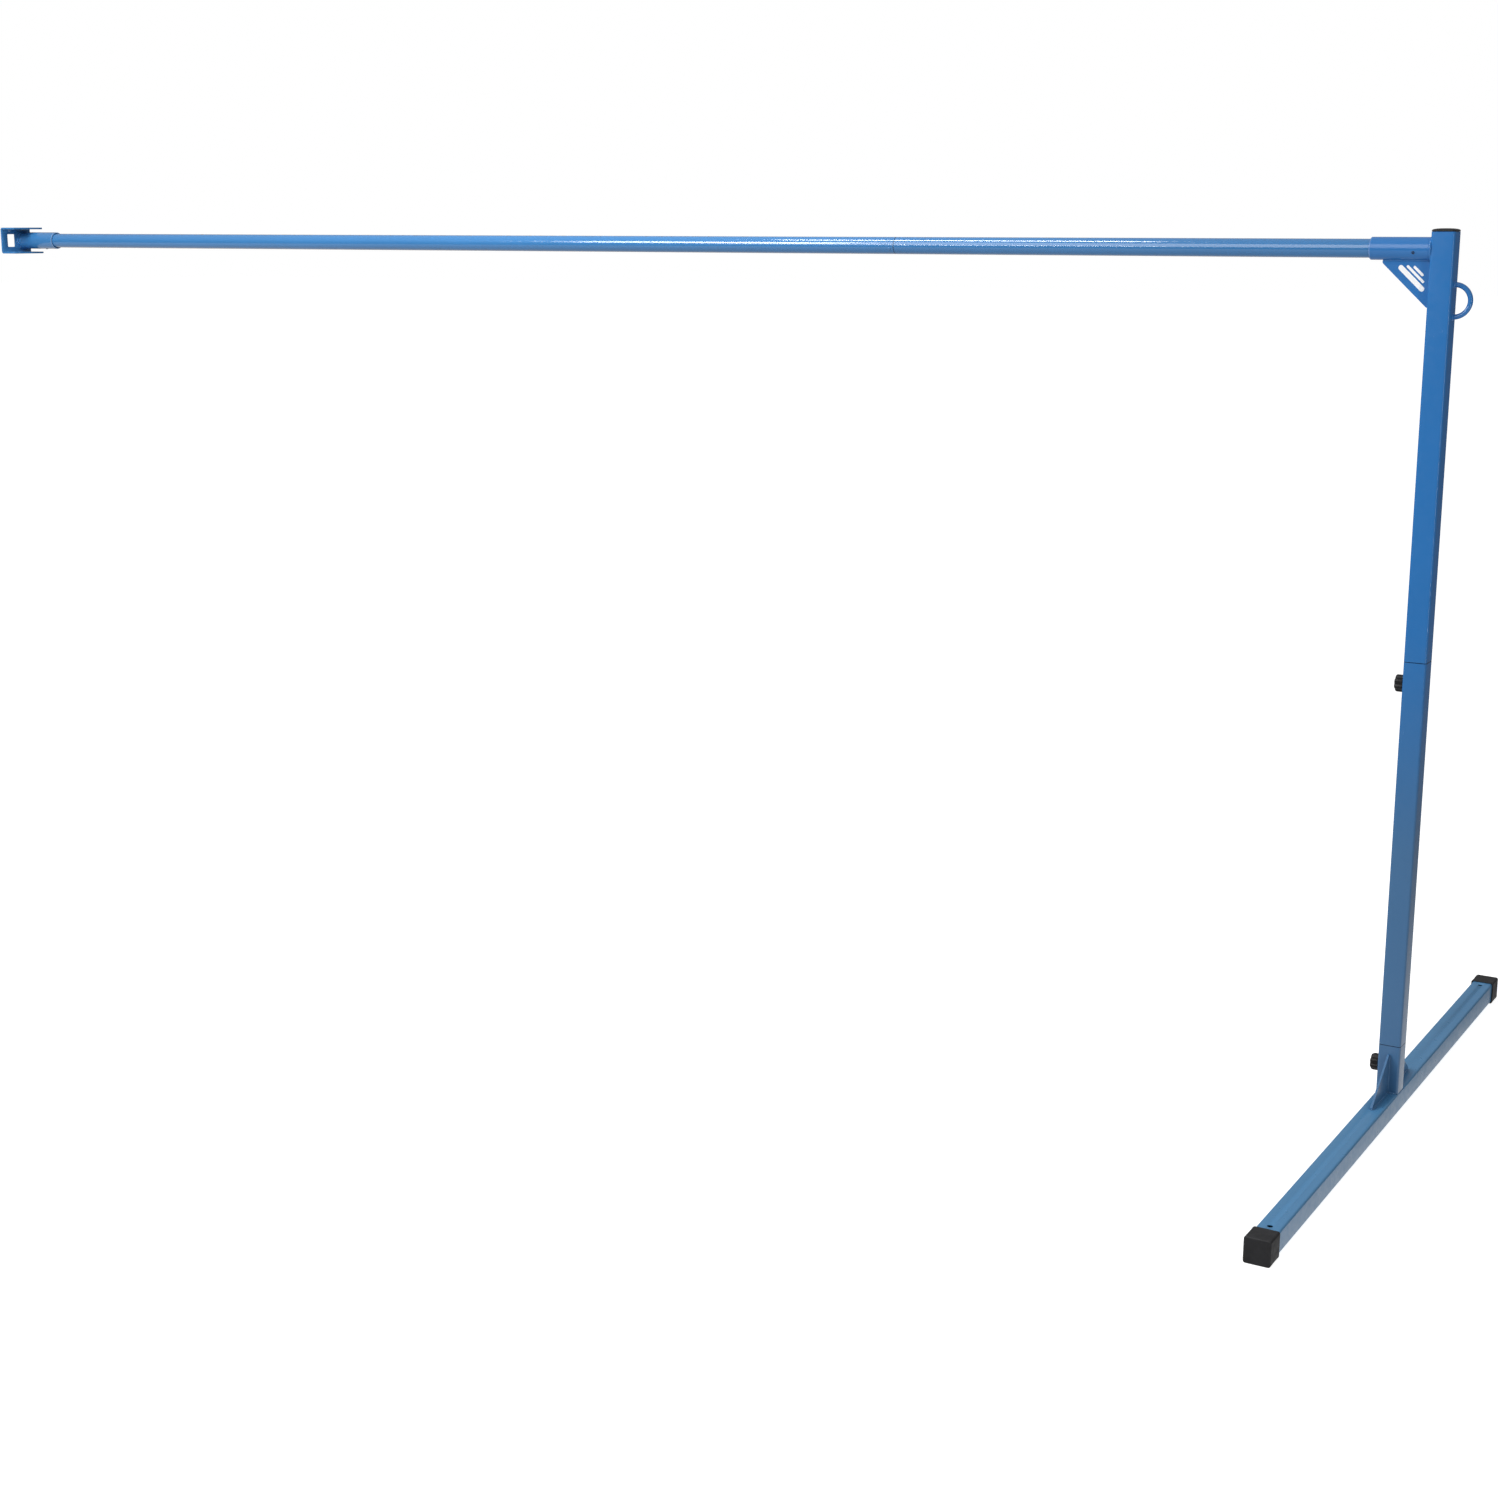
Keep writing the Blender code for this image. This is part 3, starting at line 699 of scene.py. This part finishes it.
def foot():
    body = "foot_base"
    beam = square_tube("foot_beam", body, FOOT_PAINT, "frame_paint", upright=False)
    stake_holes(beam)
    stub = square_tube("foot_stub", body, PAINT, "frame_paint")
    stud_hole(stub, "lower_knob")
    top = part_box("foot_beam")[1].z
    stub_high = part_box("foot_stub")[1]
    for label, side in (("front", -1), ("rear", 1)):
        face = side * stub_high.y
        points = [Vector((x, face, top)) for x in (-0.021, 0.021)]
        normals = [(Y * side + Z).normalized()] * 2
        weld("stub_weld_" + label, body, points, normals)
        stub_gusset(label, side, top, face)
    for label, side in (("left", -1), ("right", 1)):
        line = side * (stub_high.x - 0.0022)
        points = [Vector((line, y, top - 0.0012)) for y in (-0.023, 0.023)]
        normals = [(X * side + Z * 0.2).normalized()] * 2
        weld("stub_weld_" + label, body, points, normals, SMALL_BEAD)
    foot_cap("front", -1)
    foot_cap("rear", 1)


def stub_gusset(label, side, top, face):
    node = "stub_gusset_" + label
    low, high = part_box(node)
    reach = high.y - low.y
    height = high.z - low.z
    outline = triangle(reach, height)
    if side > 0:
        place = along(Vector((0, low.y, low.z)), X, Y)
        piece = plate(node + "_plate", outline, place, low.x, high.x)
    else:
        place = along(Vector((0, high.y, low.z)), -X, -Y)
        piece = plate(node + "_plate", outline, place, -high.x, -low.x)
    own(piece, "foot_base", PAINT, "frame_paint", node)
    corner = Vector((0, face, top))
    up = Z * (height - 0.003)
    out = Y * side * (reach - 0.001)
    gusset_weld(node + "_weld", "foot_base", corner, up, out, X * (high.x - 0.0002))


def triangle(reach, height, nose=0.006, radius=0.0022):
    """A right triangle with its square corner at the origin, blunt noses and softened corners."""
    corners = [(0, 0), (reach, 0), (reach, nose), (nose, height), (0, height)]
    points = []
    for index, corner in enumerate(corners):
        here = Vector(corner)
        before = (Vector(corners[index - 1]) - here).normalized()
        after = (Vector(corners[(index + 1) % len(corners)]) - here).normalized()
        if index == 0:
            points.append(corner)
            continue
        for step in range(5):
            blend = step / 4
            first, second = here + before * radius, here + after * radius
            bend = first.lerp(here, blend).lerp(here.lerp(second, blend), blend)
            points.append(tuple(bend))
    return points


def foot_cap(label, side):
    """A pushed-on rubber cap: a thick rim at its mouth, soft outer edges and a faintly crowned end."""
    node = "foot_cap_" + label
    low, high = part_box(node)
    half = (high.x - low.x) / 2
    middle = (low + high) / 2
    end = low.y if side < 0 else high.y
    mouth = high.y if side < 0 else low.y
    inward = 1 if end < mouth else -1
    corner = 0.0055
    wall = CAP_WALL

    def ring(inset, depth, wear_and_painted_light):
        width = 2 * (half - inset)
        outline = rounded_box(width, width, max(corner - inset * 0.6, 0.001))
        w = end + inward * depth
        return [Vector((middle.x + u, w, middle.z + v)) for u, v in outline], wear_and_painted_light

    length = abs(mouth - end)
    edge = 0.0028
    rings = [ring(half - 0.004, 0.0, 0.0), ring(0.008, 0.0001, 0.0)]
    # The rounded end edge and the stretch by the mouth are marked lighter: a painted highlight.
    for step in range(7):
        angle = pi / 2 * step / 6
        rings.append(ring(edge * (1 - sin(angle)), edge * (1 - cos(angle)), 0.8 * sin(2 * angle)))
    rings += [
        ring(0.0002, length * 0.5, 0.0),
        ring(0.0002, length - 0.0080, 0.0),
        ring(0.0001, length - 0.0072, 0.2),
        ring(0.0, length - 0.0066, 0.3),
        ring(0.0, length - 0.0010, 0.3),
        ring(0.0003, length - 0.0003, 0.6),
        ring(0.0010, length, 0.6),
        ring(wall - 0.0006, length, 0.5),
        ring(wall - 0.0002, length - 0.0004, 0.4),
        ring(wall, length - 0.0012, 0.0),
        ring(wall, CAP_END_WALL + 0.0002, 0.0),
        ring(half - 0.004, CAP_END_WALL, 0.0),
    ]
    piece = loft(node + "_shell", rings)
    own(piece, "foot_base", RUBBER, "cap_rubber", node)


# Clamp knobs


def knob_set(label, holder):
    knob = label + "_knob"
    knob_handle(knob, knob)
    knob_stud(knob + "_stud", knob)
    knob_washer(knob + "_washer", label + "_washer")
    weld_nut(knob + "_nut", holder)


def outward(node):
    """A place on the knob's axis: w is the distance out from the middle of the post."""
    low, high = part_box(node)
    middle = (low + high) / 2
    return along(Vector((0, middle.y, middle.z)), -X, Y), -high.x, -low.x


def knob_handle(node, body):
    """A seven-lobed knob with a crowned front, and a recess behind that takes the washer."""
    place, base, end = outward(node)
    low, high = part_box(node)
    radius = (high.y - low.y) / 2 - 0.0014
    steps = KNOB_LOBES * 20

    def ring(reach, w, depth, wear_and_painted_light=0.0):
        points = []
        for step in range(steps):
            angle = 2 * pi * step / steps
            swell = 0.5 + 0.5 * cos(KNOB_LOBES * angle)
            flute = -0.0030 * depth * (1 - swell) ** 1.6
            out = reach + 0.0012 * depth * swell + flute
            points.append(place(out * cos(angle), out * sin(angle), w))
        return points, wear_and_painted_light

    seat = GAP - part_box(node + "_washer")[0].x
    recess, edge = KNOB_RECESS, KNOB_EDGE
    dome_width, dome_depth = 0.0052, 0.0050
    rings = [
        ring(STUD_BORE, seat + 0.0103, 0.0),
        ring(STUD_BORE, seat, 0.0),
        ring(recess, seat, 0.0),
        ring(recess, base + 0.0006, 0.0),
        ring(recess + 0.0006, base, 0.0, 0.3),
        ring(radius - edge - 0.0008, base, 0.6),
    ]
    # The rounded rim and the crowned front are marked lighter: a painted highlight.
    for step in range(1, 7):
        angle = pi / 2 * step / 6
        inset = edge * (1 - sin(angle))
        rings.append(ring(radius - inset, base + edge * (1 - cos(angle)), 0.8, 0.4))
    for step in range(11):
        angle = pi / 2 * step / 10
        reach = radius - dome_width * (1 - cos(angle))
        w = end - 0.0004 - dome_depth * (1 - sin(angle))
        rings.append(ring(reach, w, 0.8 - 0.3 * step / 10, 0.6 * sin(2 * angle)))
    rings += [
        ring(radius * 0.56, end - 0.0001, 0.10),
        ring(radius * 0.50, end, 0.0),
        ring(radius * 0.46, end, 0.0, 0.4),
        ring(radius * 0.44, end - 0.0004, 0.0),
        ring(radius * 0.43, end - 0.0012, 0.0),
        ring(radius * 0.40, end - 0.0014, 0.0),
        ring(radius * 0.12, end - 0.0011, 0.0),
        ring(radius * 0.03, end - 0.0011, 0.0),
    ]
    piece = loft(node + "_star", rings, sharp=48)
    own(piece, body, NYLON, "knob_plastic", node)


def knob_stud(node, body):
    """A rolled M8 thread with a chamfered point."""
    place, tip, end = outward(node)
    rings_per_turn = 10
    count = int((end - tip) / THREAD_PITCH * rings_per_turn)
    rings = []
    for index in range(count + 1):
        w = tip + (end - tip) * index / count
        limit = THREAD_ROOT + max(0.0, w - tip)
        ring = []
        for step in range(36):
            turn = step / 36
            phase = (w / THREAD_PITCH + turn) % 1.0
            tooth = 1 - abs(2 * phase - 1)
            height = min(1.0, max(0.0, tooth * 1.35 - 0.15))
            reach = min(THREAD_ROOT + (THREAD_CREST - THREAD_ROOT) * height, limit)
            angle = 2 * pi * turn
            ring.append(place(reach * cos(angle), reach * sin(angle), w))
        rings.append((ring, 0.0))
    piece = loft(node + "_thread", rings, sharp=60)
    own(piece, body, ZINC, "zinc_steel", node)


def knob_washer(node, body):
    place, start, end = outward(node)
    low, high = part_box(node)
    section = round_section((high.y - low.y) / 2, SMALL_STEPS)
    wall = (high.y - low.y) / 2 - STUD_BORE
    edge = 0.00025
    stations = (
        (edge, start, 0),
        (0, start + edge, 0),
        (0, end - 2 * edge, 0),
        (edge * 0.6, end - edge * 0.6, 0),
        (2 * edge, end, 0),
        (wall - edge, end, 0),
        (wall, end - edge, 0),
        (wall, start, 0),
    )
    piece = loft(node + "_disc", rings_at(section, place, stations), wrap=True)
    own(piece, body, ZINC, "zinc_steel", node)


def weld_nut(node, body):
    """A thin hexagon nut with chamfered corners, tacked to the tube."""
    place, start, end = outward(node)
    low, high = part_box(node)
    flats = (high.z - low.z) / 2
    steps = 72

    def ring(limit, w):
        points = []
        for step in range(steps):
            angle = 2 * pi * step / steps
            away = (angle + pi / 6) % (pi / 3) - pi / 6
            reach = min(flats / cos(away), limit)
            # The flats face along Z, so the outline is turned by a twelfth of a turn
            turned = angle + pi / 2
            points.append(place(reach * cos(turned), reach * sin(turned), w))
        return points, 0.0

    corner = flats / cos(pi / 6)
    bore = NUT_BORE
    rings = [
        ring(corner * 0.945, start),
        ring(corner, start + 0.0007),
        ring(corner, end - 0.0007),
        ring(corner * 0.945, end),
        ring(bore + 0.0006, end),
        ring(bore, end - 0.0006),
        ring(bore, start + 0.0006),
        ring(bore + 0.0006, start),
    ]
    piece = loft(node + "_hex", rings, wrap=True, sharp=25)
    own(piece, body, ZINC, "zinc_steel", node)
    centre = place(0, 0, start)
    ring_weld(node + "_weld", body, centre, flats + 0.0004, -X, 0.0011)


# Post top


def posts():
    lower = square_tube("lower_post", "lower_post", PAINT, "frame_paint")
    stud_hole(lower, "upper_knob")
    square_tube("lower_spigot", "lower_post", PAINT, "spigot_paint")
    square_tube("upper_post", "upper_post", PAINT, "frame_paint")
    square_tube("upper_spigot", "upper_post", PAINT, "spigot_paint")


def post_cap():
    """A domed plug with a fine rim and a plain skirt inside the tube."""
    low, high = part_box("post_cap")
    side = high.x - low.x
    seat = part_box("upper_post")[1].z + GAP
    place = along_z(0, 0)

    def ring(inset, w, wear_and_painted_light=0.0):
        width = side - 2 * inset
        radius = max(0.0006, min(TUBE_RADIUS, width * 0.48) - inset * 0.25)
        outline = rounded_box(width, width, min(radius, width * 0.48))
        return [place(u, v, w) for u, v in outline], wear_and_painted_light

    rise = high.z - seat
    skirt = 0.0024
    # The rim and the dome's edge are marked lighter: a painted highlight.
    rings = [
        ring(skirt + 0.0020, low.z),
        ring(skirt, low.z, 0.2),
        ring(skirt, seat - 0.0002),
        ring(0.0004, seat, 0.3),
        ring(0.0, seat + 0.0004, 0.5),
        ring(0.0, seat + rise * 0.22, 0.5),
    ]
    steps = 10
    for step in range(1, steps + 1):
        part = step / steps
        inset = (side / 2 - 0.0008) * part ** 1.9
        height = seat + rise * (0.22 + 0.78 * sin(pi / 2 * part ** 0.8))
        rings.append(ring(inset, height, 0.4 * (1 - part)))
    piece = loft("post_cap_plug", rings, sharp=50)
    own(piece, "upper_post", NYLON, "knob_plastic", "post_cap")


def post_head():
    body = "upper_post"
    round_tube("bar_sleeve", body, SLEEVE_WALL, PAINT, "frame_paint", *RIM_HIGHLIGHT)
    low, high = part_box("bar_sleeve")
    axis = (low.z + high.z) / 2
    radius = (high.z - low.z) / 2
    ring_weld("sleeve_weld", body, Vector((high.x, 0, axis)), radius, -X)
    corner_gusset(axis - radius)
    tie_loop()
    post_cap()


def corner_gusset(top):
    body = "upper_post"
    low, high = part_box("corner_gusset")
    reach = high.x - low.x
    height = high.z - low.z
    outline = triangle(reach, height)
    origin = Vector((high.x, 0, high.z))
    # u runs towards -X and v runs down, so the plate's depth runs towards the rear
    piece = plate(
        "corner_gusset_plate", outline, along(origin, (-X).cross(-Z), -X), low.y, high.y
    )
    own(piece, body, PAINT, "frame_paint", "corner_gusset")
    corner = Vector((high.x, 0, top))
    side = Y * (high.y - 0.0002)
    gusset_weld("corner_gusset_weld", body, corner, -X * (reach - 0.002), -Z * (height - 0.002), side)
    decal(low, high)


def decal(low, high):
    """Three plain white stripes along the gusset's slope, on both faces."""
    reach = high.x - low.x
    height = high.z - low.z
    slope = Vector((reach, 0, -height)).normalized()
    inward = Vector((height, 0, reach)).normalized()
    toe = Vector((low.x, 0, high.z))
    length = sqrt(reach ** 2 + height ** 2)
    for face, sign in (("front", -1), ("rear", 1)):
        skin = low.y if sign < 0 else high.y
        for name, inset, width, start, end in STRIPES:
            middle = toe + slope * (length * (start + end) / 2) + inward * inset
            middle.y = skin
            across = slope if sign < 0 else -slope
            outline = rounded_box(length * (end - start), width, width * 0.49, 6)
            place = along(middle, Y * sign, across)
            stripe = prism("decal_" + name + "_" + face, outline, place, -0.00005, STRIPE_FILM)
            own(stripe, "upper_post", VINYL, "frame_paint")


def tie_loop():
    low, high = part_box("tie_loop")
    rod = (high.y - low.y) / 2
    middle = (low.z + high.z) / 2
    radius = (high.z - low.z) / 2 - rod
    bend = high.x - rod - radius
    points = [Vector((low.x, 0, middle + radius))]
    normals = [Z]
    steps = 72
    for step in range(steps + 1):
        angle = pi / 2 - pi * step / steps
        out = X * cos(angle) + Z * sin(angle)
        points.append(Vector((bend, 0, middle)) + out * radius)
        normals.append(out)
    points.append(Vector((low.x, 0, middle - radius)))
    normals.append(-Z)

    def radius_at(distance, angle):
        return rod

    piece = swept("tie_loop_rod", points, radius_at, normals, 32)
    own(piece, "upper_post", PAINT, "frame_paint", "tie_loop")
    for label, end in (("top", middle + radius), ("bottom", middle - radius)):
        ring_weld("tie_loop_weld_" + label, "upper_post", Vector((low.x, 0, end)), rod, X, 0.0020)


# Fasteners on the bar


def screw_axis(node):
    """The point of the bar's axis beside a small fastener, and the direction from there through it."""
    low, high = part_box(node)
    middle = (low + high) / 2
    bar_low, bar_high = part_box("bar_section_left")
    axis = Vector((middle.x, 0, (bar_low.z + bar_high.z) / 2))
    return axis, (middle - axis).normalized()


def tube_radius(node):
    """The outer radius of a round tube along X."""
    low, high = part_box(node)
    return (high.z - low.z) / 2


def set_screw(node, body):
    """A socket set screw with a rounded rim and a hexagon socket."""
    axis, out = screw_axis(node)
    place = along(axis, out, X)
    radius = SCREW_RADIUS
    tip = tube_radius("bar_section_left") + 2 * GAP
    head = tube_radius("bar_sleeve") + SCREW_STANDS_OUT

    def ring(limit, w, flats=None):
        points = []
        for step in range(SMALL_STEPS):
            angle = 2 * pi * step / SMALL_STEPS
            reach = limit
            if flats:
                away = (angle + pi / 6) % (pi / 3) - pi / 6
                reach = flats / cos(away)
            points.append(place(reach * cos(angle), reach * sin(angle), w))
        return points, 0.0

    rings = [
        ring(0.0022, tip),
        ring(radius, tip + 0.0006),
        ring(radius, head - 0.0004),
        ring(radius - 0.0003, head),
        ring(0.0021, head),
        ring(0, head - 0.0003, 0.00150),
        ring(0, head - 0.0020, 0.00148),
    ]
    piece = loft(node + "_screw", rings, sharp=30)
    own(piece, body, OXIDE, "dark_steel", node)


def rivet(node, body):
    """A blind rivet with a low domed head and a dimple where its pin broke off."""
    axis, out = screw_axis(node)
    place = along(axis, out, X)
    seat = tube_radius("bar_section_left")
    tip = tube_radius("bar_ferrule") - FERRULE_WALL - 0.0010
    rings = []

    def ring(reach, w, wear_and_painted_light=0.0):
        rings.append(([place(u, v, w) for u, v in circle(reach, SMALL_STEPS)], wear_and_painted_light))

    ring(RIVET_SHANK - 0.0006, tip)
    ring(RIVET_SHANK, tip + 0.0004)
    ring(RIVET_SHANK, seat)
    ring(RIVET_HEAD - 0.0002, seat)
    ring(RIVET_HEAD, seat + 0.0003, 0.5)
    for step in range(1, 8):
        angle = pi / 2 * step / 8
        ring(RIVET_HEAD * cos(angle), seat + 0.0003 + 0.0013 * sin(angle), 0.4)
    ring(0.0009, seat + 0.0016)
    ring(0.0008, seat + 0.0013)
    piece = loft(node + "_head", rings)
    own(piece, body, BAR_PAINT, "zinc_steel", node)


def bar():
    round_tube("bar_section_right", "bar_right", BAR_WALL, BAR_PAINT, "bar_paint")
    round_tube("bar_section_left", "bar_left", BAR_WALL, BAR_PAINT, "bar_paint")
    round_tube("bar_ferrule", "bar_left", FERRULE_WALL, BAR_PAINT, "spigot_paint")
    rivet("ferrule_rivet_front", "bar_left")
    rivet("ferrule_rivet_rear", "bar_left")


# End bracket


def bracket():
    body = "end_bracket"
    round_tube("bracket_sleeve", body, SLEEVE_WALL, BAR_PAINT, "frame_paint", *RIM_HIGHLIGHT)
    low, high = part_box("bracket_channel")
    middle = (low + high) / 2
    depth = high.x - low.x
    half = (high.z - low.z) / 2
    bend = BRACKET_BEND
    upper = [(depth, half - PLATE), (depth, half)]
    for step in range(9):
        angle = pi / 2 * (1 + step / 8)
        upper.append((bend + bend * cos(angle), half - bend + bend * sin(angle)))
    inner_bend = BRACKET_INNER_BEND
    inner = []
    for step in range(5):
        angle = pi / 2 * (1 + (4 - step) / 4)
        u = PLATE + inner_bend + inner_bend * cos(angle)
        inner.append((u, half - PLATE - inner_bend + inner_bend * sin(angle)))
    outline = [*upper, *[(u, -v) for u, v in reversed(upper)]]
    outline += [(u, -v) for u, v in reversed(inner)] + inner
    place = along(Vector((low.x, 0, middle.z)), -Y, X)
    channel = prism("bracket_channel_bend", outline, place, -high.y, -low.y)
    near, far = opening("bracket_window")
    centre = (near + far) / 2
    window = rounded_box(far.y - near.y + 0.002, far.z - near.z + 0.002, 0.0025, 6)
    cutter = prism("window_cut", window, along_x(centre.y, centre.z), low.x - 0.01, low.x + 0.015)
    drill(channel, [cutter], 0.0006)
    own(channel, body, BAR_PAINT, "frame_paint", "bracket_channel")
    at_web = Vector((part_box("bracket_sleeve")[0].x, 0, middle.z))
    ring_weld("bracket_weld", body, at_web, tube_radius("bracket_sleeve"), X)
    set_screw("bracket_set_screw", body)


# Studio

# Brightness of the room, by the sine of the angle above the horizon
SKY = (
    (-0.98, 0.50),
    (-0.36, 0.98),
    (-0.27, 0.18),
    (-0.10, 0.08),
    (0.10, 0.12),
    (0.50, 0.42),
    (0.98, 0.60),
)

# A lamp's name, place, target, width, height and power
LAMPS = (
    ("key", (-2.6, -4.6, 4.0), (-0.4, 0, 1.1), 3.6, 3.6, 134),
    ("edge", (2.2, -1.9, 1.7), (0, 0, 1.4), 0.12, 2.4, 18),
    ("top", (-1.95, -0.50, 3.6), (-1.95, 0, 1.9), 1.3, 0.25, 26),
    ("front", (-2.6, -3.6, 2.5), (-1.0, 0, 1.9), 1.2, 0.08, 9),
    ("left", (-3.9, -3.0, 3.6), (-3.3, 0, 1.9), 1.2, 1.2, 80),
)


def camera():
    """The photographer's place: in front of the post, to its right, at the bar's height."""
    data = bpy.data.cameras.new("camera")
    data.sensor_width = 36
    data.lens = 55.212
    piece = bpy.data.objects.new("camera", data)
    piece.location = (1.2674, -5.0220, 1.9952)
    piece.rotation_euler = (radians(90 - 12.934), 0, radians(30.657))
    bpy.context.scene.collection.objects.link(piece)
    bpy.context.scene.camera = piece


def floor():
    """A pale floor that the camera sees, but that reflects nothing onto the frame."""
    mesh = bpy.data.meshes.new("floor")
    form = bmesh.new()
    bmesh.ops.create_grid(form, x_segments=4, y_segments=4, size=60)
    form.to_mesh(mesh)
    form.free()
    piece = bpy.data.objects.new("floor", mesh)
    mesh.materials.append(pale_floor("pale_floor"))
    bpy.context.scene.collection.objects.link(piece)
    piece.visible_glossy = False
    piece.visible_diffuse = False


def room():
    """A white backdrop. The light from it is strong above and below, and weak at eye level."""
    world = bpy.data.worlds.new("studio")
    bpy.context.scene.world = world
    world.use_nodes = True
    tree = world.node_tree
    direction = tree.nodes.new("ShaderNodeTexCoord").outputs["Generated"]
    parts = tree.nodes.new("ShaderNodeSeparateXYZ")
    tree.links.new(direction, parts.inputs["Vector"])
    height = tree.nodes.new("ShaderNodeMapRange")
    height.inputs["From Min"].default_value = -1
    tree.links.new(parts.outputs["Z"], height.inputs["Value"])
    ramp = tree.nodes.new("ShaderNodeValToRGB")
    tree.links.new(height.outputs["Result"], ramp.inputs["Fac"])
    stops = ramp.color_ramp.elements
    for sine, level in SKY:
        stop = stops.new((sine + 1) / 2)
        stop.color = (level, level, level, 1)
    for spare in (stops[-1], stops[0]):
        stops.remove(spare)
    seen = tree.nodes.new("ShaderNodeLightPath").outputs["Is Camera Ray"]
    backdrop = tree.nodes.new("ShaderNodeMix")
    backdrop.data_type = "RGBA"
    backdrop.inputs["B"].default_value = (1, 1, 1, 1)
    tree.links.new(seen, backdrop.inputs["Factor"])
    tree.links.new(ramp.outputs["Color"], backdrop.inputs["A"])
    tree.links.new(backdrop.outputs["Result"], tree.nodes["Background"].inputs["Color"])


def studio():
    camera()
    floor()
    room()
    for entry in LAMPS:
        lamp(*entry)
    bpy.context.scene.view_settings.view_transform = "Standard"


def lamp(name, place, target, width, height, power):
    data = bpy.data.lights.new(name, "AREA")
    data.shape = "RECTANGLE"
    data.size = width
    data.size_y = height
    data.energy = power
    light = bpy.data.objects.new(name, data)
    light.location = place
    toward = Vector(target) - Vector(place)
    light.rotation_euler = toward.to_track_quat("-Z", "Y").to_euler()
    bpy.context.scene.collection.objects.link(light)


foot()
posts()
knob_set("lower", "foot_base")
knob_set("upper", "lower_post")
post_head()
set_screw("sleeve_set_screw", "upper_post")
bar()
bracket()
studio()
